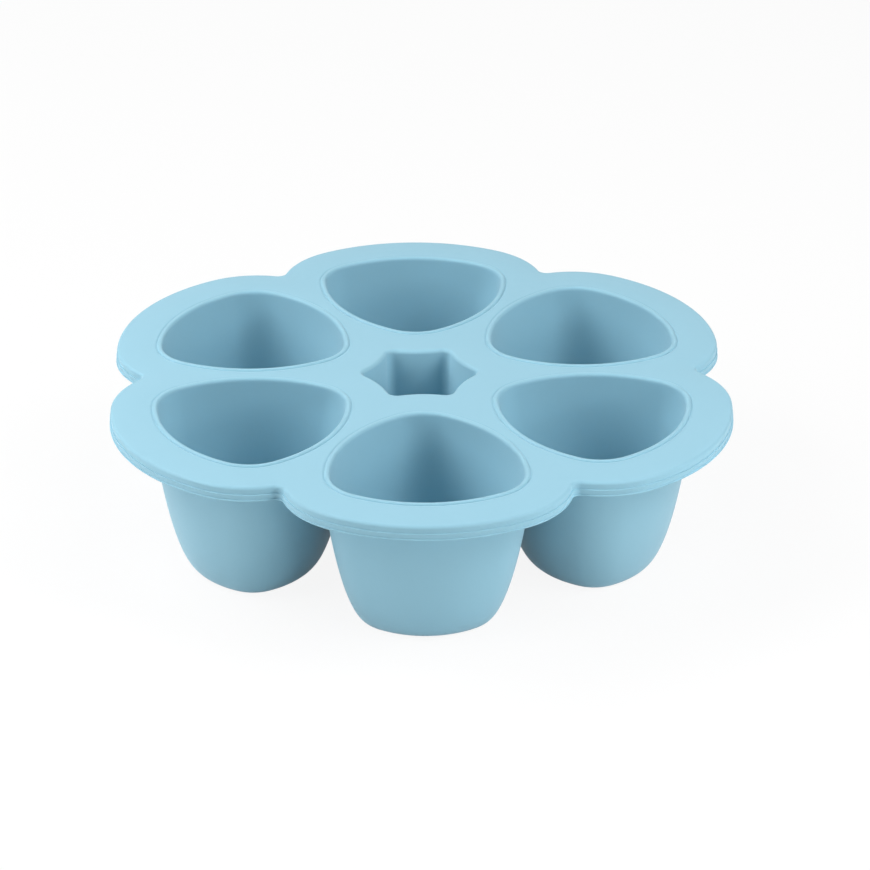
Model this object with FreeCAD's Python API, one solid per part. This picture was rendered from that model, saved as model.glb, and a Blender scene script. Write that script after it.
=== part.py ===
"""Six-cup silicone freezer tray for baby food, open top, lobed rim.

The tray is one silicone moulding.  It is divided here into the regions that a
moulder names: rim petals, the centre web and its star well, and for each cup a
lip, a wall, a heel and a soft floor that a thumb pushes up to release a frozen
portion.  Millimetres, +Z up, origin on the table under the tray's centre.
Cup 1 is the front cup, on -Y, and the numbers run anticlockwise from above.
"""
import FreeCAD, Part
import os
from math import atan2, cos, degrees, radians, sin, sqrt

# ---- driving dimensions, mm and degrees -------------------------------------
CUP_COUNT = 6
FIRST_CUP_ANGLE = -90.0      # cup 1 faces the front

TRAY_HEIGHT = 57.8           # table to the rim's flat top
CUP_WEB = 8.8                # narrowest silicone between two neighbouring mouths

# mouth of a cup: a triangle with bowed sides and round corners, one corner
# pointing at the tray's centre
MOUTH_CORNER_AT = 20.0       # cup axis to a corner arc's centre
MOUTH_CORNER_R = 16.0
MOUTH_SIDE_R = 51.0

# outline of a cup's flat base, outside
BASE_CORNER_AT = 11.7
BASE_CORNER_R = 10.9
BASE_SIDE_R = 29.0

WALL = 2.5                   # cup wall
FLOOR = 2.5                  # cup floor
WALL_TAPER = 6.0             # how far a side leans in between rim and base
HEEL_POWER = 2.23            # roundness of the turn from wall to base
HEEL_HEIGHT = 14.0           # table to the joint line of heel and wall
WALL_SECTIONS = 9            # sections that carry the curved side

# the soft push-up floor, cut from the base by a thin flexing line
FLOOR_SHOULDER = 6.0         # base outline to the line round the moving floor
FLOOR_LINE = 0.3             # clearance round the moving floor

# raised bead round each mouth
LIP_WIDTH = 2.1
LIP_RISE = 0.4
LIP_INNER_ROUND = 1.2
LIP_OUTER_ROUND = 0.3

# rim: an upper tier, a slightly wider lower tier that the lid snaps under,
# and a fine foot round the lower tier
RIM_BORDER = 16.4            # mouth to the upper tier's edge
RIM_UPPER = 2.9
RIM_LOWER = 2.4
RIM_LEDGE = 0.5              # lower tier stands out by this much
RIM_FOOT_OUT = 0.3
RIM_FOOT_HIGH = 0.5
RIM_EDGE_ROUND = 1.0
VALLEY_R = 3.5               # fillet between two petals

# centre: a six-pointed star well with hollow sides
STAR_WEB = 16.8              # cup mouth to the star's side
STAR_TIP_R = 3.2
STAR_EDGE_ROUND = 0.8
STAR_DEPTH = 30.0            # rim top to the well's floor
STAR_WALL = 2.2
STAR_FLOOR = 2.2
STAR_TAPER = 0.7             # how far each side leans in over the well's depth
HUB_MARGIN = 4.0             # lip to the edge of the centre web

# ---- places that follow from the sizes --------------------------------------
HALF_STEP = 180.0 / CUP_COUNT
COS_CORNER = cos(radians(30.0))      # half width of a rounded triangle per corner distance
SIDE_BEHIND = sqrt((MOUTH_SIDE_R - MOUTH_CORNER_R) ** 2
                   - (MOUTH_CORNER_AT * sin(radians(60.0))) ** 2) - MOUTH_CORNER_AT / 2
MOUTH_SIDE_AT = MOUTH_SIDE_R - SIDE_BEHIND       # cup axis to the middle of a side
RING_R = (MOUTH_SIDE_AT + CUP_WEB / 2) / sin(radians(HALF_STEP))

RIM_TOP = TRAY_HEIGHT
RIM_MIDDLE = RIM_TOP - RIM_UPPER
RIM_BOTTOM = RIM_MIDDLE - RIM_LOWER
HUB_APOTHEM = RING_R - MOUTH_CORNER_AT - MOUTH_CORNER_R - LIP_WIDTH - HUB_MARGIN
NEAR = 1e-6                                      # two lengths this close are the same


ORIGIN = FreeCAD.Vector(0, 0, 0)


def polar(radius, angle, about=ORIGIN):
    """Point at a radius and an angle in degrees about a centre, at its height."""
    a = radians(angle)
    return about + FreeCAD.Vector(radius * cos(a), radius * sin(a), 0)


def arc(centre, radius, start, end):
    """Level arc about a centre, from one angle to another."""
    angles = (start, (start + end) / 2, end)
    return Part.Arc(*[polar(radius, angle, centre) for angle in angles]).toShape()


def prism(wire, height):
    """Solid that stands on a level closed wire."""
    return Part.Face(wire).extrude(FreeCAD.Vector(0, 0, height))


def loft(wires):
    """Smooth solid through level wires, closed at both ends."""
    return Part.makeLoft(wires, True, False)


def slab(low, high):
    """Layer between two heights, wider than the tray."""
    side = 4 * RING_R
    return Part.makeBox(side, side, high - low, FreeCAD.Vector(-side / 2, -side / 2, low))


def level_arcs(solid, z, radii=None):
    """Arcs of a solid that lie at a height, and have one of the radii if any are given."""
    found = []
    for edge in solid.Edges:
        box = edge.BoundBox
        if abs(box.ZMin - z) > NEAR or abs(box.ZMax - z) > NEAR:
            continue
        if not isinstance(edge.Curve, Part.Circle):
            continue
        if radii is None or min(abs(edge.Curve.Radius - r) for r in radii) < NEAR:
            found.append(edge)
    return found


# ---- cups ---------------------------------------------------------------------
def rounded_triangle(corner_at, corner_r, side_r, z):
    """Outline round the axis of the cup on +X: three corner arcs, three bowed sides."""
    axis = FreeCAD.Vector(RING_R, 0, z)
    reach = corner_at * sin(radians(60.0))
    behind = sqrt((side_r - corner_r) ** 2 - reach ** 2) - corner_at / 2
    spread = degrees(atan2(reach, behind + corner_at / 2))
    edges = []
    for side in (0.0, 120.0, 240.0):
        side_centre = polar(-behind, side, axis)
        corner_centre = polar(corner_at, side + 60.0, axis)
        edges.append(arc(side_centre, side_r, side - spread, side + spread))
        edges.append(arc(corner_centre, corner_r, side + spread, side + 120.0 - spread))
    return Part.Wire(edges)


def mouth_outline(grow, z):
    """Mouth of a cup, moved outwards by grow."""
    return rounded_triangle(MOUTH_CORNER_AT, MOUTH_CORNER_R + grow, MOUTH_SIDE_R + grow, z)


def base_outline(grow, z):
    """Flat base of a cup, moved outwards by grow."""
    return rounded_triangle(BASE_CORNER_AT, BASE_CORNER_R + grow, BASE_SIDE_R + grow, z)


def cup_section(turn, grow, depth):
    """Section of a cup's side, at a turn from 0 under the rim to 90 at the base.

    The side leans in evenly by WALL_TAPER and then turns in to the base along
    a quarter of a superellipse.
    """
    down = sin(radians(turn)) ** (2 / HEEL_POWER)
    inward = 1 - max(cos(radians(turn)), 0.0) ** (2 / HEEL_POWER)
    top_half = MOUTH_CORNER_AT * COS_CORNER + MOUTH_CORNER_R + WALL
    base_half = BASE_CORNER_AT * COS_CORNER + BASE_CORNER_R
    heel = top_half - base_half - WALL_TAPER
    half = top_half - WALL_TAPER * down - heel * inward
    top_bow = MOUTH_SIDE_R - MOUTH_CORNER_R
    base_bow = BASE_SIDE_R - BASE_CORNER_R
    bow = top_bow + (base_bow - top_bow) * down
    corner_at = MOUTH_CORNER_AT + (BASE_CORNER_AT - MOUTH_CORNER_AT) * down
    corner_r = half - corner_at * COS_CORNER + grow
    return rounded_triangle(corner_at, corner_r, corner_r + bow, RIM_BOTTOM - depth * down)


def cup_form(grow, depth):
    """Solid form of a cup from the rim's underside down."""
    turns = [90.0 * i / (WALL_SECTIONS - 1) for i in range(WALL_SECTIONS)]
    return loft([cup_section(turn, grow, depth) for turn in turns])


def cup_wall_and_heel():
    """Side of a cup down to the heel line, and the heel that turns in to its base."""
    shell = cup_form(0.0, RIM_BOTTOM).cut(cup_form(-WALL, RIM_BOTTOM - FLOOR))
    above_heel = slab(HEEL_HEIGHT, RIM_TOP)
    heel = shell.cut(above_heel).cut(prism(base_outline(-FLOOR_SHOULDER, 0.0), FLOOR))
    return shell.common(above_heel), heel


def cup_floor():
    """Middle of a cup's base, which a thumb pushes up."""
    return prism(base_outline(-FLOOR_SHOULDER - FLOOR_LINE, 0.0), FLOOR)


def cup_lip():
    """Raised bead round a mouth, and the throat inside the rim."""
    top = RIM_TOP + LIP_RISE
    lip = prism(mouth_outline(LIP_WIDTH, RIM_BOTTOM), top - RIM_BOTTOM)
    lip = lip.makeFillet(LIP_OUTER_ROUND, level_arcs(lip, top))
    lip = lip.cut(prism(mouth_outline(0.0, RIM_BOTTOM), top - RIM_BOTTOM))
    mouth_arcs = level_arcs(lip, top, (MOUTH_CORNER_R, MOUTH_SIDE_R))
    return lip.makeFillet(LIP_INNER_ROUND, mouth_arcs)


# ---- rim ----------------------------------------------------------------------
def petal_outline(grow, z):
    """Petal on +X, from the centre web to its lobed edge, which is moved out by grow."""
    axis = FreeCAD.Vector(RING_R, 0, z)
    middle = FreeCAD.Vector(0, 0, z)
    lobe_r = MOUTH_CORNER_R + RIM_BORDER
    side = polar(-SIDE_BEHIND, 0.0, axis)
    corner = polar(MOUTH_CORNER_AT, 60.0, axis)
    # the valley arc's centre lies on the plane between two petals
    plane = polar(1.0, HALF_STEP)
    along = corner.x * plane.x + corner.y * plane.y
    off = corner.x * plane.y - corner.y * plane.x
    valley_at = along + sqrt((lobe_r + VALLEY_R) ** 2 - off ** 2)
    valley = polar(valley_at, HALF_STEP, middle)
    side_end = degrees(atan2(corner.y - side.y, corner.x - side.x))
    corner_end = degrees(atan2(valley.y - corner.y, valley.x - corner.x))
    web_corner = polar(HUB_APOTHEM / cos(radians(HALF_STEP)), HALF_STEP, middle)
    half = [
        arc(side, MOUTH_SIDE_R + RIM_BORDER + grow, 0.0, side_end),
        arc(corner, lobe_r + grow, side_end, corner_end),
        arc(valley, VALLEY_R - grow, corner_end + 180.0, HALF_STEP + 180.0),
        Part.makeLine(polar(valley_at - VALLEY_R + grow, HALF_STEP, middle), web_corner),
        Part.makeLine(web_corner, polar(HUB_APOTHEM, 0.0, middle)),
    ]
    other_half = [edge.mirror(ORIGIN, FreeCAD.Vector(0, 1, 0)) for edge in half]
    return Part.Wire(Part.sortEdges(half + other_half)[0])


def rim_petal():
    """Stepped petal, with room for its cup's lip."""
    upper = prism(petal_outline(0.0, RIM_MIDDLE), RIM_UPPER)
    upper = upper.makeFillet(RIM_EDGE_ROUND, level_arcs(upper, RIM_TOP))
    lower = prism(petal_outline(RIM_LEDGE, RIM_BOTTOM), RIM_LOWER)
    foot = prism(petal_outline(RIM_LEDGE + RIM_FOOT_OUT, RIM_BOTTOM), RIM_FOOT_HIGH)
    petal = upper.fuse([lower, foot]).removeSplitter()
    return petal.cut(prism(mouth_outline(LIP_WIDTH, RIM_BOTTOM), RIM_TOP - RIM_BOTTOM))


# ---- centre -------------------------------------------------------------------
def star_outline(grow, z):
    """Star with a hollow side towards each cup and round tips between them."""
    middle = FreeCAD.Vector(0, 0, z)
    side_at = RING_R - MOUTH_CORNER_AT
    side_r = MOUTH_CORNER_R + STAR_WEB
    half = radians(HALF_STEP)
    tip_at = side_at * cos(half) - sqrt((side_r + STAR_TIP_R) ** 2 - (side_at * sin(half)) ** 2)
    spread = degrees(atan2(tip_at * sin(half), side_at - tip_at * cos(half)))
    edges = []
    for i in range(CUP_COUNT):
        towards_cup = 2 * HALF_STEP * i
        inwards = towards_cup + 180.0
        side = polar(side_at, towards_cup, middle)
        tip = polar(tip_at, towards_cup + HALF_STEP, middle)
        tip_end = towards_cup + 2 * HALF_STEP + spread
        edges.append(arc(side, side_r - grow, inwards + spread, inwards - spread))
        edges.append(arc(tip, STAR_TIP_R + grow, towards_cup - spread, tip_end))
    return Part.Wire(edges)


def centre_web():
    """Middle of the rim, with the star's mouth."""
    middle = FreeCAD.Vector(0, 0, RIM_BOTTOM)
    corner_at = HUB_APOTHEM / cos(radians(HALF_STEP))
    corners = [polar(corner_at, HALF_STEP * (2 * i + 1), middle) for i in range(CUP_COUNT)]
    web = prism(Part.makePolygon(corners + corners[:1]), RIM_TOP - RIM_BOTTOM)
    web = web.cut(prism(star_outline(0.0, RIM_BOTTOM), RIM_TOP - RIM_BOTTOM))
    return web.makeFillet(STAR_EDGE_ROUND, level_arcs(web, RIM_TOP))


def star_well():
    """Closed star-shaped well that hangs under the centre web."""
    well_floor = RIM_TOP - STAR_DEPTH
    outside = loft([star_outline(STAR_WALL - STAR_TAPER, well_floor - STAR_FLOOR),
                    star_outline(STAR_WALL, RIM_BOTTOM)])
    inside = loft([star_outline(-STAR_TAPER, well_floor), star_outline(0.0, RIM_BOTTOM)])
    return outside.cut(inside)


# ---- tray ---------------------------------------------------------------------
def turned(shape, angle):
    """Copy of a shape turned about the tray's axis."""
    copy = shape.copy()
    copy.rotate(ORIGIN, FreeCAD.Vector(0, 0, 1), angle)
    return copy


def build():
    """Every piece of the tray, by its name."""
    wall, heel = cup_wall_and_heel()
    cup = {"lip": cup_lip(), "wall": wall, "heel": heel, "floor": cup_floor()}
    petal = rim_petal()
    # the star's hollow sides face the cups
    nodes = {"centre_web": turned(centre_web(), FIRST_CUP_ANGLE),
             "star_well": turned(star_well(), FIRST_CUP_ANGLE)}
    for i in range(CUP_COUNT):
        angle = FIRST_CUP_ANGLE + 2 * HALF_STEP * i
        nodes["rim_petal_%d" % (i + 1)] = turned(petal, angle)
        for name, piece in cup.items():
            nodes["cup_%d_%s" % (i + 1, name)] = turned(piece, angle)
    return nodes


def main():
    os.makedirs("parts", exist_ok=True)
    for name, shape in build().items():
        if len(shape.Solids) != 1:
            raise ValueError("%s has %d solids" % (name, len(shape.Solids)))
        shape.Solids[0].exportStep("parts/%s.step" % name)


main()
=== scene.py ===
from math import atan2, cos, degrees, pi, radians, sin, sqrt

import bmesh
import bpy
import numpy as np
from mathutils import Matrix, Vector
from mathutils.geometry import delaunay_2d_cdt


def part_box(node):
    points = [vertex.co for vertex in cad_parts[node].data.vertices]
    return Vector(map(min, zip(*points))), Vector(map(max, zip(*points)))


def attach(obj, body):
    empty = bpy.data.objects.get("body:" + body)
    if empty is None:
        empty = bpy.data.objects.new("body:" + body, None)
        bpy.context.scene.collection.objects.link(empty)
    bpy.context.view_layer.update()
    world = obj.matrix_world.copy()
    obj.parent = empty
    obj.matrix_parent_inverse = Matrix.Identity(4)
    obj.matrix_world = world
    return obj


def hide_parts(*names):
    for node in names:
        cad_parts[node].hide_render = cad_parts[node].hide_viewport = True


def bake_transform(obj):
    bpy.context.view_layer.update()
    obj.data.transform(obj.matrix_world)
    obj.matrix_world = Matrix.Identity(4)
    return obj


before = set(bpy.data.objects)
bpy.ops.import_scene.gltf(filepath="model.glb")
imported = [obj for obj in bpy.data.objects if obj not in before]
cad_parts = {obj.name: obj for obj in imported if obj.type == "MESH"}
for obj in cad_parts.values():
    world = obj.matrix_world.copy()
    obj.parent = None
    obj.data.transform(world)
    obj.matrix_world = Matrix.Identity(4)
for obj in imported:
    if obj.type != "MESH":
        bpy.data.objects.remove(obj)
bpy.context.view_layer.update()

# Looks of the six-cup silicone freezer tray.  One skin covers the rim with its
# star well, and one skin covers each cup with its bead, wall, heel and floor.
# Metres, +Z up, the frame's own origin: on the table, under the tray's centre.
MM = 0.001

# ---- read from the frame -----------------------------------------------------------
CUP_COUNT = sum(name.endswith("_lip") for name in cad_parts)
RIM_BOTTOM, RIM_TOP = (corner.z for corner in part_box("rim_petal_1"))
BEAD_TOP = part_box("cup_1_lip")[1].z
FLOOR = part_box("cup_1_floor")[1].z   # top of a cup's floor
WELL_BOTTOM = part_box("star_well")[0].z

# ---- cup: the frame's shape, with a softer bead and a crease round it --------------
FIRST_CUP_ANGLE = -90.0              # degrees; cup 1 faces the front
MOUTH_CORNER_AT = 20.0 * MM          # cup's axis to a corner arc's centre
MOUTH_CORNER_R = 16.0 * MM
MOUTH_SIDE_R = 51.0 * MM
BASE_CORNER_AT = 11.7 * MM
BASE_CORNER_R = 10.9 * MM
BASE_SIDE_R = 29.0 * MM
WALL = 2.5 * MM
WALL_TAPER = 6.0 * MM                # how far a side leans in between rim and base
HEEL_POWER = 2.23                    # roundness of the turn from wall to base
BEAD_WIDTH = 2.1 * MM
BEAD_INNER_ROUND = 1.0 * MM
BEAD_OUTER_ROUND = 0.8 * MM
GROOVE_WIDTH = 0.7 * MM              # soft crease round the bead
GROOVE_FLAT = 0.15 * MM              # of its width, level beside the bead
GROOVE_DEPTH = 0.18 * MM
GROOVE_ROUND = 0.5 * MM
BEAD_ROOT = 0.8 * MM                 # how far the bead reaches under the rim's top
RIM_TUCK = 0.5 * MM                  # how far the rim reaches under the bead
THROAT_EASE = 0.06                   # softness of the turn from throat to wall
UNDER_FILLET = 1.5 * MM              # cup walls and star well to the rim's underside

# ---- rim: the frame's border, with a finer edge ------------------------------------
RIM_BORDER = 16.4 * MM               # mouth to the border's edge
RIM_UPPER = 2.8 * MM                 # height of the upper tier
RIM_OUT = 0.45 * MM                  # upper tier, beyond the border
RIM_LEDGE = 0.2 * MM                 # lower tier, beyond the upper one
RIM_FOOT_OUT = 0.1 * MM              # foot, beyond the lower tier
RIM_FOOT_HIGH = 0.5 * MM
RIM_EDGE_ROUND = 1.1 * MM
LEDGE_ROUND = 0.25 * MM              # upper edges of the lower tier and the foot
TIER_UNDERCUT = 0.3 * MM             # each tier leans in a little towards its bottom
VALLEY_R = 3.5 * MM                  # fillet between two lobes
RIM_DROOP = 0.2 * MM                 # the soft border hangs a little at its edge
RIM_DROOP_WIDTH = 9.0 * MM
RIM_DROOP_ROUND = 60.0 * MM
DROOP_LEVEL = 2.0 * MM               # level strip that the droop starts from
FLAT_MARGIN = 0.4 * MM               # level strip beside a round edge
FINE_ROUND = 0.12 * MM               # fine edges and inner corners of the moulding

# ---- star well: the frame's shape, with softer edges -------------------------------
STAR_WEB = 16.8 * MM                 # cup mouth to the star's side
STAR_TIP_R = 3.2 * MM
STAR_EDGE_ROUND = 1.5 * MM
STAR_WALL = 2.2 * MM
STAR_FLOOR = 2.2 * MM
STAR_TAPER = 0.7 * MM                # how far each side leans in over the well's depth
STAR_FLOOR_ROUND = 1.2 * MM

# ---- places that follow ------------------------------------------------------------
HALF_STEP = 180.0 / CUP_COUNT        # degrees, half the angle between two cups
COS_CORNER = cos(radians(30.0))      # half a corner of a triangle of equal sides
# cup's axis to the centre of a mouth side's arc, beyond the axis as seen from that side
SIDE_BEHIND = sqrt((MOUTH_SIDE_R - MOUTH_CORNER_R) ** 2
                   - (MOUTH_CORNER_AT * sin(radians(60.0))) ** 2) - MOUTH_CORNER_AT / 2
MOUTH_SIDE_AT = MOUTH_SIDE_R - SIDE_BEHIND      # cup's axis to the middle of a side
RING_R = -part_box("cup_1_lip")[0].y - MOUTH_SIDE_AT - BEAD_WIDTH     # tray's axis to a cup's

# ---- mesh steps --------------------------------------------------------------------
CUP_SIDE_STEPS = 30
CUP_CORNER_STEPS = 16
WALL_RINGS = 30
THROAT_RINGS = 5
FLOOR_RINGS = 14
ROUND_STEPS = 6
RIM_SIDE_STEPS = 40
RIM_CORNER_STEPS = 26
VALLEY_STEPS = 10
STAR_SIDE_STEPS = 16
STAR_TIP_STEPS = 12
FILL_SPACING = 3.0 * MM
FILL_MERGE = 1e-6                    # millimetres; closer points of a level fill are one
WELD = 1e-6                          # metres; closer points of a finished skin are one

# ---- camera ------------------------------------------------------------------------
CAMERA_ELEVATION = 27.007            # degrees, as the next two
CAMERA_AZIMUTH = -2.143
CAMERA_ROLL = 0.193
CAMERA_DISTANCE = 1247.43 * MM
CAMERA_SIDEWAYS = 5.513 * MM         # from the rim's centre, across the view
CAMERA_UPWARDS = -22.909 * MM        # from the rim's centre, up the view
CAMERA_LENS = 142.417                # millimetres, as the sensor's width
CAMERA_SENSOR = 36.0
CAMERA_NEAR = 0.05                   # nearest and farthest distance that it sees
CAMERA_FAR = 20.0


# ==== outlines ======================================================================
def polar(radius, angle):
    """Point at a radius and an angle in degrees."""
    return radius * np.array([cos(radians(angle)), sin(radians(angle))])


def arc(centre, radius, start, end, steps, hollow=False):
    """Points and outward normals along a level arc, without its last point."""
    angles = np.radians(np.linspace(start, end, steps, endpoint=False))
    away = np.stack([np.cos(angles), np.sin(angles)], axis=1)
    return centre + radius * away, -away if hollow else away


def outline(arcs):
    """Closed outline from arcs in order: its points and its outward normals."""
    points, normals = zip(*arcs)
    return np.concatenate(points), np.concatenate(normals)


def level_ring(shape, grow, z):
    """Outline moved out by grow, at a height."""
    points, normals = shape
    moved = points + grow * normals
    return np.column_stack([moved, np.full(len(moved), z)])


def turned(points, angle):
    """Points turned about the tray's axis by an angle in degrees."""
    c, s = cos(radians(angle)), sin(radians(angle))
    turn = np.array([[c, s, 0.0], [-s, c, 0.0], [0.0, 0.0, 1.0]])
    return points @ turn


def rounded_triangle(corner_at, corner_r, side_r):
    """Three bowed sides and three round corners, one side facing +X."""
    reach = corner_at * sin(radians(60.0))
    behind = sqrt((side_r - corner_r) ** 2 - reach ** 2) - corner_at / 2
    spread = degrees(atan2(reach, behind + corner_at / 2))
    arcs = []
    for side in (0.0, 120.0, 240.0):
        corner = polar(corner_at, side + 60.0)
        arcs.append(arc(polar(-behind, side), side_r, side - spread, side + spread, CUP_SIDE_STEPS))
        arcs.append(arc(corner, corner_r, side + spread, side + 120.0 - spread, CUP_CORNER_STEPS))
    return outline(arcs)


MOUTH = rounded_triangle(MOUTH_CORNER_AT, MOUTH_CORNER_R, MOUTH_SIDE_R)


def rim_outline():
    """Lobed edge of the rim's border, a lobe for each cup with a valley between."""
    lobe_r = MOUTH_CORNER_R + RIM_BORDER
    side = np.array([RING_R - SIDE_BEHIND, 0.0])
    corner = np.array([RING_R, 0.0]) + polar(MOUTH_CORNER_AT, 60.0)
    plane = polar(1.0, HALF_STEP)
    along = corner @ plane
    off = corner[0] * plane[1] - corner[1] * plane[0]
    valley = (along + sqrt((lobe_r + VALLEY_R) ** 2 - off ** 2)) * plane
    side_end = degrees(atan2(corner[1] - side[1], corner[0] - side[0]))
    corner_end = degrees(atan2(valley[1] - corner[1], valley[0] - corner[0]))
    mirrored = corner * np.array([1.0, -1.0])
    lobe = outline([
        arc(mirrored, lobe_r, -corner_end, -side_end, RIM_CORNER_STEPS),
        arc(side, MOUTH_SIDE_R + RIM_BORDER, -side_end, side_end, RIM_SIDE_STEPS),
        arc(corner, lobe_r, side_end, corner_end, RIM_CORNER_STEPS),
        arc(valley, VALLEY_R, corner_end + 180.0, 2 * HALF_STEP - corner_end + 180.0,
            VALLEY_STEPS, hollow=True),
    ])
    return repeated(lobe)


def star_outline():
    """Mouth of the star well: a hollow side towards each cup, round tips between."""
    side_at = RING_R - MOUTH_CORNER_AT
    side_r = MOUTH_CORNER_R + STAR_WEB
    half = radians(HALF_STEP)
    tip_at = side_at * cos(half) - sqrt((side_r + STAR_TIP_R) ** 2 - (side_at * sin(half)) ** 2)
    spread = degrees(atan2(tip_at * sin(half), side_at - tip_at * cos(half)))
    point = outline([
        arc(polar(side_at, 0.0), side_r, 180.0 + spread, 180.0 - spread,
            STAR_SIDE_STEPS, hollow=True),
        arc(polar(tip_at, HALF_STEP), STAR_TIP_R, -spread, 2 * HALF_STEP + spread, STAR_TIP_STEPS),
    ])
    return repeated(point)


def repeated(part):
    """Whole outline from the part that belongs to the cup on +X."""
    points, normals = (np.column_stack([xy, np.zeros(len(xy))]) for xy in part)
    angles = [FIRST_CUP_ANGLE + 2 * HALF_STEP * i for i in range(CUP_COUNT)]
    whole = [(turned(points, a)[:, :2], turned(normals, a)[:, :2]) for a in angles]
    return outline(whole)


# ==== profiles ======================================================================
def rounded_path(corners):
    """Path of (outwards, height) points through corners (outwards, height, round)."""
    path = [np.array(corners[0][:2])]
    for before, here, after in zip(corners, corners[1:], corners[2:]):
        corner = np.array(here[:2])
        back = np.array(before[:2]) - corner
        on = np.array(after[:2]) - corner
        back /= np.linalg.norm(back)
        on /= np.linalg.norm(on)
        half_angle = np.arccos(np.clip(back @ on, -1.0, 1.0)) / 2
        middle = (back + on) / np.linalg.norm(back + on)
        centre = corner + middle * here[2] / np.sin(half_angle)
        start = corner + back * here[2] / np.tan(half_angle) - centre
        end = corner + on * here[2] / np.tan(half_angle) - centre
        sweep = pi - 2 * half_angle
        # the round from start to end about its centre
        for t in np.linspace(0.0, 1.0, ROUND_STEPS + 1):
            blended = start * np.sin((1 - t) * sweep) + end * np.sin(t * sweep)
            path.append(centre + blended / np.sin(sweep))
    path.append(np.array(corners[-1][:2]))
    return path


# ==== meshes ========================================================================
class Skin:
    """Closed mesh that grows ring by ring."""

    def __init__(self):
        self.points = []
        self.faces = []

    def add(self, points, faces):
        first = len(self.points)
        self.points.extend(points)
        self.faces.extend([first + i for i in face] for face in faces)

    def tube(self, rings):
        """Quads between rings that follow each other."""
        count = len(rings[0])
        faces = [
            (row * count + i, row * count + (i + 1) % count,
             (row + 1) * count + (i + 1) % count, (row + 1) * count + i)
            for row in range(len(rings) - 1)
            for i in range(count)
        ]
        self.add(np.concatenate(rings), faces)

    def disc(self, ring, centre):
        """Rings that close in from one ring to a centre."""
        shares = np.linspace(1.0, 0.0, FLOOR_RINGS, endpoint=False)
        rings = [centre + share * (ring - centre) for share in shares]
        self.tube(rings)
        count = len(ring)
        fan = [(i, (i + 1) % count, count) for i in range(count)]
        self.add(np.vstack([rings[-1], centre]), fan)

    def level_fill(self, loops):
        """Triangles over the level area inside the first loop and outside the others."""
        height = loops[0][0][2]
        flat = [loop[:, :2] / MM for loop in loops]
        inner = inside_points(flat)
        edges, first = [], 0
        for loop in flat:
            count = len(loop)
            edges.extend((first + i, first + (i + 1) % count) for i in range(count))
            first += count
        points = [Vector(p) for p in np.concatenate(flat + [inner])]
        made = delaunay_2d_cdt(points, edges, [], 0, FILL_MERGE)
        corners = np.array([tuple(p) for p in made[0]])
        faces = np.array(made[2])
        kept = faces[crossings_odd(corners[faces].mean(axis=1), flat)]
        filled = np.column_stack([corners * MM, np.full(len(corners), height)])
        self.add(filled, kept.tolist())

    def build(self, name, material):
        """Object of the welded mesh, shaded smooth."""
        mesh = bpy.data.meshes.new(name)
        mesh.from_pydata([tuple(p) for p in self.points], [], self.faces)
        made = bmesh.new()
        made.from_mesh(mesh)
        bmesh.ops.remove_doubles(made, verts=made.verts, dist=WELD)
        bmesh.ops.recalc_face_normals(made, faces=made.faces)
        made.to_mesh(mesh)
        made.free()
        mesh.shade_smooth()
        mesh.materials.append(material)
        piece = bpy.data.objects.new(name, mesh)
        bpy.context.scene.collection.objects.link(piece)
        return piece


def crossings_odd(points, loops):
    """True where a level point lies inside an odd number of loops."""
    odd = np.zeros(len(points), bool)
    for loop in loops:
        for a, b in zip(loop, np.roll(loop, -1, axis=0)):
            if a[1] == b[1]:
                continue
            spans = (a[1] > points[:, 1]) != (b[1] > points[:, 1])
            reach = a[0] + (points[:, 1] - a[1]) * (b[0] - a[0]) / (b[1] - a[1])
            odd ^= spans & (points[:, 0] < reach)
    return odd


def inside_points(loops):
    """Even triangular grid of points over the area between the loops, clear of their edges."""
    spacing = FILL_SPACING / MM
    low, high = loops[0].min(axis=0), loops[0].max(axis=0)
    rows = []
    for k, y in enumerate(np.arange(low[1], high[1], spacing * COS_CORNER)):
        x = np.arange(low[0] + spacing / 2 * (k % 2), high[0], spacing)
        rows.append(np.column_stack([x, np.full(len(x), y)]))
    grid = np.concatenate(rows)
    grid = grid[crossings_odd(grid, loops)]
    for corner in np.concatenate(loops):
        grid = grid[np.hypot(*(grid - corner).T) > spacing / 2]
    return grid


# ==== cups ==========================================================================
def cup_outline(down, inward, grow):
    """Outline of a cup's side, from shares of its depth and of its turn to the base."""
    top_half = MOUTH_CORNER_AT * COS_CORNER + MOUTH_CORNER_R + WALL
    base_half = BASE_CORNER_AT * COS_CORNER + BASE_CORNER_R
    heel = top_half - base_half - WALL_TAPER
    half = top_half - WALL_TAPER * down - heel * inward
    top_bow = MOUTH_SIDE_R - MOUTH_CORNER_R
    base_bow = BASE_SIDE_R - BASE_CORNER_R
    bow = top_bow + (base_bow - top_bow) * down
    corner_at = MOUTH_CORNER_AT + (BASE_CORNER_AT - MOUTH_CORNER_AT) * down
    corner_r = half - corner_at * COS_CORNER + grow
    return rounded_triangle(corner_at, corner_r, corner_r + bow)


def turn_shares():
    """Shares of depth and of the turn to the base, from the rim down."""
    turns = np.radians(np.linspace(0.0, 90.0, WALL_RINGS))
    power = 2 / HEEL_POWER
    return np.sin(turns) ** power, 1 - np.clip(np.cos(turns), 0.0, 1.0) ** power


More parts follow.
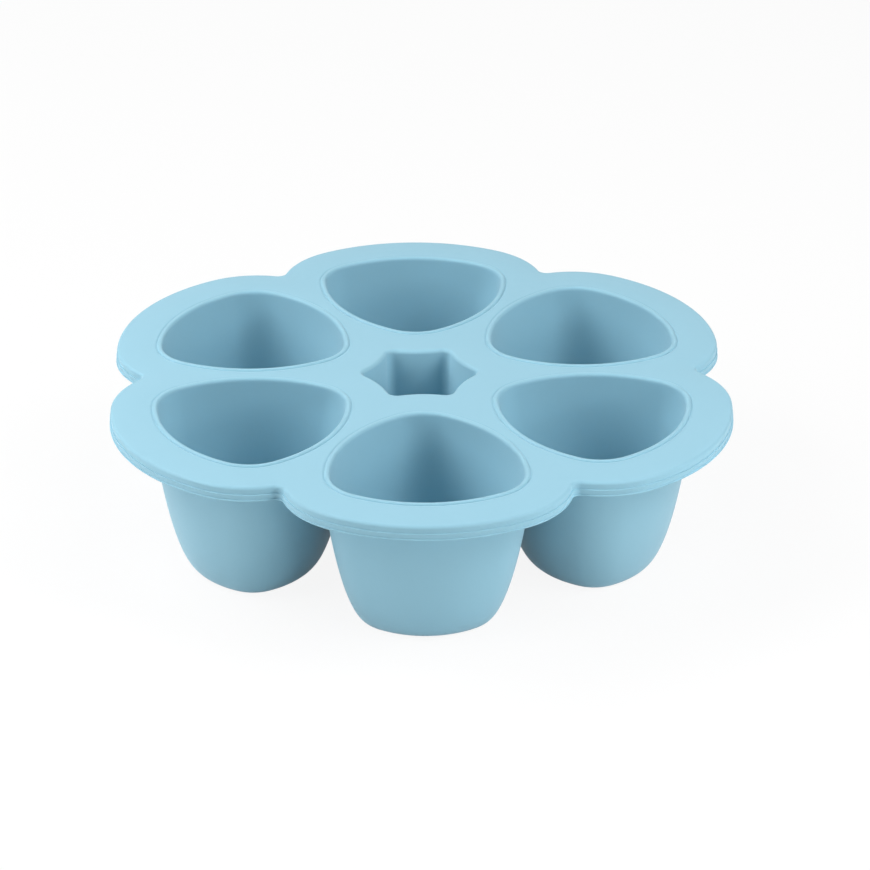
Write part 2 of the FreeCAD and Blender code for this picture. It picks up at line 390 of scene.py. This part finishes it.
def inner_side():
    """Rings inside a cup, from the bead's inner edge down to the floor's outline."""
    depth = RIM_BOTTOM - FLOOR
    down, inward = turn_shares()
    throat = np.linspace(BEAD_TOP - BEAD_INNER_ROUND, RIM_BOTTOM, THROAT_RINGS, endpoint=False)
    down = np.concatenate([(RIM_BOTTOM - throat) / depth, down])
    inward = np.concatenate([np.zeros(THROAT_RINGS), inward])
    eased = (down + np.sqrt(down ** 2 + THROAT_EASE ** 2)) / 2
    return [level_ring(cup_outline(soft, turn, -WALL), 0.0, RIM_BOTTOM - depth * share)
            for share, soft, turn in zip(down, eased, inward)]


def outer_side():
    """Rings outside a cup, from the rim's underside down to the base's outline."""
    down, inward = turn_shares()
    fillet_shares = np.linspace(0.0, UNDER_FILLET / RIM_BOTTOM, ROUND_STEPS, endpoint=False)
    lower = down > UNDER_FILLET / RIM_BOTTOM
    down = np.concatenate([fillet_shares, down[lower]])
    inward = np.concatenate([np.zeros(ROUND_STEPS), inward[lower]])
    rings = []
    for share, turn in zip(down, inward):
        drop = min(share * RIM_BOTTOM, UNDER_FILLET)
        flare = UNDER_FILLET - sqrt(UNDER_FILLET ** 2 - (UNDER_FILLET - drop) ** 2)
        rings.append(level_ring(cup_outline(share, turn, flare), 0.0, RIM_BOTTOM * (1 - share)))
    return rings


def bead_rings():
    """Rings over the raised bead, from its root under the rim's top to just short of the throat."""
    path = rounded_path([
        (BEAD_WIDTH, RIM_TOP - BEAD_ROOT, 0.0),
        (BEAD_WIDTH, BEAD_TOP, BEAD_OUTER_ROUND),
        (0.0, BEAD_TOP, BEAD_INNER_ROUND),
        (0.0, RIM_BOTTOM, 0.0),
    ])
    return [level_ring(MOUTH, out, z) for out, z in path[:-2]]


def cup_skin(number, material):
    """Bead, throat, wall, heel and floor of one cup as one closed skin."""
    outside, inside = outer_side(), inner_side()
    skin = Skin()
    skin.tube(outside[::-1] + bead_rings() + inside)
    skin.disc(outside[-1], np.array([0.0, 0.0, 0.0]))
    skin.disc(inside[-1], np.array([0.0, 0.0, FLOOR]))
    angle = FIRST_CUP_ANGLE + 2 * HALF_STEP * (number - 1)
    local = np.array(skin.points)
    skin.points = list(turned(local + np.array([RING_R, 0.0, 0.0]), angle))
    cup = skin.build("cup_%d_skin" % number, material)
    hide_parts(*["cup_%d_%s" % (number, part) for part in ("lip", "wall", "heel", "floor")])
    bend_floor(cup)
    return cup


def bend_floor(cup):
    """Bakes the cup's place in the tray into its mesh."""
    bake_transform(cup)


# ==== rim and star well =============================================================
def mouth_loop(number, grow, z):
    """Outline round one cup's mouth, at its place in the tray."""
    ring = level_ring(MOUTH, grow, z) + np.array([RING_R, 0.0, 0.0])
    return turned(ring, FIRST_CUP_ANGLE + 2 * HALF_STEP * (number - 1))


def rim_edge_path():
    """Profile of the rim's edge: soft border, round top, ledge, lower tier and fine foot."""
    top, bottom = RIM_TOP - RIM_DROOP, RIM_BOTTOM - RIM_DROOP
    middle = top - RIM_UPPER
    foot_top = bottom + RIM_FOOT_HIGH
    ledge_out = RIM_OUT + RIM_LEDGE
    foot_out = ledge_out + RIM_FOOT_OUT
    return rounded_path([
        (-RIM_DROOP_WIDTH - DROOP_LEVEL, RIM_TOP, 0.0),
        (-RIM_DROOP_WIDTH, RIM_TOP, RIM_DROOP_ROUND),
        (RIM_OUT, top, RIM_EDGE_ROUND),
        (RIM_OUT - TIER_UNDERCUT, middle, FINE_ROUND),
        (ledge_out, middle, LEDGE_ROUND),
        (ledge_out - TIER_UNDERCUT, foot_top, FINE_ROUND),
        (foot_out, foot_top, LEDGE_ROUND),
        (foot_out, bottom, FINE_ROUND),
        (-RIM_DROOP_WIDTH, RIM_BOTTOM, RIM_DROOP_ROUND),
        (-RIM_DROOP_WIDTH - DROOP_LEVEL, RIM_BOTTOM, 0.0),
    ])


def groove_path():
    """Profile of the rim's hole for a cup, from the crease round the bead to the underside."""
    groove_out = BEAD_WIDTH + GROOVE_WIDTH
    groove_in = BEAD_WIDTH + GROOVE_FLAT
    groove_bottom = RIM_TOP - GROOVE_DEPTH
    tuck = BEAD_WIDTH - RIM_TUCK
    wall_root = WALL + UNDER_FILLET
    return rounded_path([
        (groove_out + FLAT_MARGIN, RIM_TOP, 0.0),
        (groove_out, RIM_TOP, GROOVE_ROUND),
        (groove_in, groove_bottom, FINE_ROUND),
        (tuck, groove_bottom, FINE_ROUND),
        (wall_root, RIM_BOTTOM, 0.0),
    ])


def well_inside_path():
    """Profile inside the star well, from the rim's top to the well's floor."""
    well_floor = WELL_BOTTOM + STAR_FLOOR
    return rounded_path([
        (STAR_EDGE_ROUND + FLAT_MARGIN, RIM_TOP, 0.0),
        (0.0, RIM_TOP, STAR_EDGE_ROUND),
        (-STAR_TAPER, well_floor, STAR_FLOOR_ROUND),
        (-STAR_TAPER - STAR_FLOOR_ROUND, well_floor, 0.0),
    ])


def well_outside_path():
    """Profile outside the star well, from the rim's underside to the well's base."""
    outside = STAR_WALL - STAR_TAPER
    return rounded_path([
        (STAR_WALL + UNDER_FILLET + FLAT_MARGIN, RIM_BOTTOM, 0.0),
        (STAR_WALL, RIM_BOTTOM, UNDER_FILLET),
        (outside, WELL_BOTTOM, STAR_FLOOR_ROUND),
        (outside - STAR_FLOOR_ROUND - FLAT_MARGIN, WELL_BOTTOM, 0.0),
    ])


def rim_skin(material):
    """Stepped rim with a hole for each cup and the closed star well, as one closed skin."""
    skin = Skin()
    lobes, star = rim_outline(), star_outline()
    numbers = range(1, CUP_COUNT + 1)
    edge = [level_ring(lobes, out, z) for out, z in rim_edge_path()]
    inside = [level_ring(star, out, z) for out, z in well_inside_path()]
    outside = [level_ring(star, out, z) for out, z in well_outside_path()]
    holes = [[mouth_loop(n, out, z) for out, z in groove_path()] for n in numbers]
    for rings in [edge, inside, outside] + holes:
        skin.tube(rings)
    skin.level_fill([edge[0], inside[0]] + [rings[0] for rings in holes])
    skin.level_fill([edge[-1], outside[0]] + [rings[-1] for rings in holes])
    skin.level_fill([inside[-1]])
    skin.level_fill([outside[-1]])
    rim = skin.build("rim_skin", material)
    petals = ["rim_petal_%d" % n for n in numbers]
    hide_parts("centre_web", "star_well", *petals)
    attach(rim, "tray")
    return rim


# ==== material ======================================================================
SILICONE = (0.251, 0.470, 0.576, 1.0)
SILICONE_PALE = (0.262, 0.485, 0.594, 1.0)
SILICONE_IOR = 1.41
SPECULAR_LEVEL = 0.25                # half of a clean surface's
SHEEN = 0.15                         # pale dust, seen at grazing angles
SHEEN_ROUGHNESS = 0.5
MOTTLE_SIZE = 18.0 * MM              # clouds of the paler tint
DUST_SIZE = 2.2 * MM                 # patches that are more or less matte
ROUGH_LOW = 0.46
ROUGH_HIGH = 0.60
GRAIN_SIZE = 0.35 * MM               # fine texture of the skin
GRAIN_HEIGHT = 0.03 * MM
GRAIN_STRENGTH = 0.08
SWELL_SIZE = 26.0 * MM               # slow unevenness of the soft walls
SWELL_HEIGHT = 0.5 * MM
SWELL_STRENGTH = 0.25


def node(tree, kind, **settings):
    """New node with its settings."""
    made = tree.nodes.new(kind)
    for key, value in settings.items():
        setattr(made, key, value)
    return made


def noise(tree, where, size, detail):
    """Noise with cells of about a size in metres."""
    made = node(tree, "ShaderNodeTexNoise")
    made.inputs["Scale"].default_value = 1.0 / size
    made.inputs["Detail"].default_value = detail
    tree.links.new(where.outputs["Object"], made.inputs["Vector"])
    return made


def silicone():
    """Matte moulded silicone: soft satin skin, a fine dusty grain, a faint unevenness."""
    material = bpy.data.materials.new("matte_silicone")
    material.use_nodes = True
    tree = material.node_tree
    shader = tree.nodes["Principled BSDF"]
    shader.inputs["IOR"].default_value = SILICONE_IOR
    shader.inputs["Specular IOR Level"].default_value = SPECULAR_LEVEL
    shader.inputs["Sheen Weight"].default_value = SHEEN
    shader.inputs["Sheen Roughness"].default_value = SHEEN_ROUGHNESS
    where = node(tree, "ShaderNodeTexCoord")

    mottle = noise(tree, where, MOTTLE_SIZE, detail=4.0)
    tint = node(tree, "ShaderNodeMix", data_type="RGBA")
    tint.inputs["A"].default_value = SILICONE
    tint.inputs["B"].default_value = SILICONE_PALE
    tree.links.new(mottle.outputs["Fac"], tint.inputs["Factor"])
    tree.links.new(tint.outputs["Result"], shader.inputs["Base Color"])

    dust = noise(tree, where, DUST_SIZE, detail=6.0)
    satin = node(tree, "ShaderNodeMapRange")
    satin.inputs["To Min"].default_value = ROUGH_LOW
    satin.inputs["To Max"].default_value = ROUGH_HIGH
    tree.links.new(dust.outputs["Fac"], satin.inputs["Value"])
    tree.links.new(satin.outputs["Result"], shader.inputs["Roughness"])

    grain = noise(tree, where, GRAIN_SIZE, detail=3.0)
    swell = noise(tree, where, SWELL_SIZE, detail=1.0)
    rough = node(tree, "ShaderNodeBump")
    rough.inputs["Strength"].default_value = GRAIN_STRENGTH
    rough.inputs["Distance"].default_value = GRAIN_HEIGHT
    wave = node(tree, "ShaderNodeBump")
    wave.inputs["Strength"].default_value = SWELL_STRENGTH
    wave.inputs["Distance"].default_value = SWELL_HEIGHT
    tree.links.new(grain.outputs["Fac"], rough.inputs["Height"])
    tree.links.new(swell.outputs["Fac"], wave.inputs["Height"])
    tree.links.new(wave.outputs["Normal"], rough.inputs["Normal"])
    tree.links.new(rough.outputs["Normal"], shader.inputs["Normal"])
    return material


# ==== stage =========================================================================
WORLD_SOFT = 0.02                    # strength of the light from all round
STAGE_REACH = 3.0                    # metres, middle of the floor to each edge
STAGE_DROP = 0.2 * MM                # floor under the cups' bases, so that the two don't meet
STAGE_GREY = 0.82
STAGE_WHITE = 0.90                   # share of plain white where the floor is seen directly
# name, azimuth from the front, elevation, distance, side of the square, watts
SOFTBOXES = (
    ("left_front", -75.0, 25.0, 1.5, 0.6, 6.8),
    ("left_low", -70.0, 9.0, 1.5, 0.6, 1.8),
    ("left_mid", -75.0, 45.0, 1.5, 0.6, 3.2),
    ("left_key", -105.0, 45.0, 1.5, 0.6, 6.0),
    ("left_near", -84.0, 50.0, 0.55, 0.3, 0.86),
    ("right_key", 75.0, 45.0, 1.5, 0.6, 8.0),
    ("right_high", 75.0, 68.0, 1.5, 0.6, 3.8),
    ("right_low", 40.0, 8.0, 1.5, 0.6, 5.6),
    ("right_near", 50.0, 32.0, 0.55, 0.3, 0.88),
    ("back", -150.0, 48.0, 1.5, 0.6, 3.4),
)


def floor_material():
    """Pale floor that looks white and still shows the tray's soft shadow."""
    material = bpy.data.materials.new("floor")
    material.use_nodes = True
    tree = material.node_tree
    tree.nodes.remove(tree.nodes["Principled BSDF"])
    output = tree.nodes["Material Output"]
    paint = node(tree, "ShaderNodeBsdfDiffuse")
    paint.inputs["Color"].default_value = (STAGE_GREY, STAGE_GREY, STAGE_GREY, 1.0)
    white = node(tree, "ShaderNodeEmission")
    share = node(tree, "ShaderNodeMath", operation="MULTIPLY")
    share.inputs[1].default_value = STAGE_WHITE
    mixed = node(tree, "ShaderNodeMixShader")
    tree.links.new(seen_directly(tree), share.inputs[0])
    tree.links.new(share.outputs[0], mixed.inputs[0])
    tree.links.new(paint.outputs[0], mixed.inputs[1])
    tree.links.new(white.outputs[0], mixed.inputs[2])
    tree.links.new(mixed.outputs[0], output.inputs["Surface"])
    return material


def seen_directly(tree):
    """Output that is 1 for what the camera, a reflection or clear glass sees."""
    path = node(tree, "ShaderNodeLightPath")
    total = path.outputs["Is Camera Ray"]
    for ray in ("Is Glossy Ray", "Is Transmission Ray"):
        either = node(tree, "ShaderNodeMath", operation="MAXIMUM")
        tree.links.new(total, either.inputs[0])
        tree.links.new(path.outputs[ray], either.inputs[1])
        total = either.outputs[0]
    return total


def add_floor():
    """Wide level floor under the tray."""
    mesh = bpy.data.meshes.new("floor")
    ways = ((-1, -1), (1, -1), (1, 1), (-1, 1))
    corners = [(x * STAGE_REACH, y * STAGE_REACH, 0.0) for x, y in ways]
    mesh.from_pydata(corners, [], [(0, 1, 2, 3)])
    mesh.materials.append(floor_material())
    floor = bpy.data.objects.new("floor", mesh)
    floor.location.z = -STAGE_DROP
    bpy.context.scene.collection.objects.link(floor)


def add_world():
    """White surroundings: white to look at, and a faint even light on the tray."""
    world = bpy.data.worlds.new("studio")
    bpy.context.scene.world = world
    world.use_nodes = True
    tree = world.node_tree
    soft = tree.nodes["Background"]
    soft.inputs["Strength"].default_value = WORLD_SOFT
    soft.inputs["Color"].default_value = (1.0, 1.0, 1.0, 1.0)
    white = node(tree, "ShaderNodeBackground")
    mixed = node(tree, "ShaderNodeMixShader")
    tree.links.new(seen_directly(tree), mixed.inputs[0])
    tree.links.new(soft.outputs[0], mixed.inputs[1])
    tree.links.new(white.outputs[0], mixed.inputs[2])
    tree.links.new(mixed.outputs[0], tree.nodes["World Output"].inputs["Surface"])


def add_softbox(name, azimuth, elevation, distance, side, power):
    """Area light that faces the tray from a side and a height."""
    a, e = radians(azimuth), radians(elevation)
    away = Vector((sin(a) * cos(e), -cos(a) * cos(e), sin(e)))
    light = bpy.data.lights.new(name, "AREA")
    light.shape = "SQUARE"
    light.size = side
    light.energy = power
    lamp = bpy.data.objects.new(name, light)
    lamp.location = away * distance
    lamp.rotation_mode = "QUATERNION"
    lamp.rotation_quaternion = away.to_track_quat("Z", "Y")
    bpy.context.scene.collection.objects.link(lamp)


def add_camera():
    """Long lens, in front of the tray and above it."""
    elevation, azimuth, roll = map(radians, (CAMERA_ELEVATION, CAMERA_AZIMUTH, CAMERA_ROLL))
    ahead = cos(elevation)
    forward = Vector((-sin(azimuth) * ahead, cos(azimuth) * ahead, -sin(elevation)))
    level = Vector((cos(azimuth), sin(azimuth), 0.0))
    upright = level.cross(forward)
    right = cos(roll) * level + sin(roll) * upright
    up = cos(roll) * upright - sin(roll) * level
    data = bpy.data.cameras.new("camera")
    data.sensor_width = CAMERA_SENSOR
    data.lens = CAMERA_LENS
    data.clip_start = CAMERA_NEAR
    data.clip_end = CAMERA_FAR
    camera = bpy.data.objects.new("camera", data)
    camera.matrix_world = Matrix((right, up, -forward)).transposed().to_4x4()
    rim_centre = Vector((0.0, 0.0, RIM_TOP))
    aim = rim_centre + CAMERA_SIDEWAYS * right + CAMERA_UPWARDS * up
    camera.location = aim - CAMERA_DISTANCE * forward
    bpy.context.scene.collection.objects.link(camera)
    bpy.context.scene.camera = camera


def main():
    bpy.context.scene.view_settings.view_transform = "Standard"
    finish = silicone()
    pieces = [rim_skin(finish)]
    pieces += [cup_skin(number, finish) for number in range(1, CUP_COUNT + 1)]
    add_floor()
    add_world()
    for box in SOFTBOXES:
        add_softbox(*box)
    add_camera()


main()
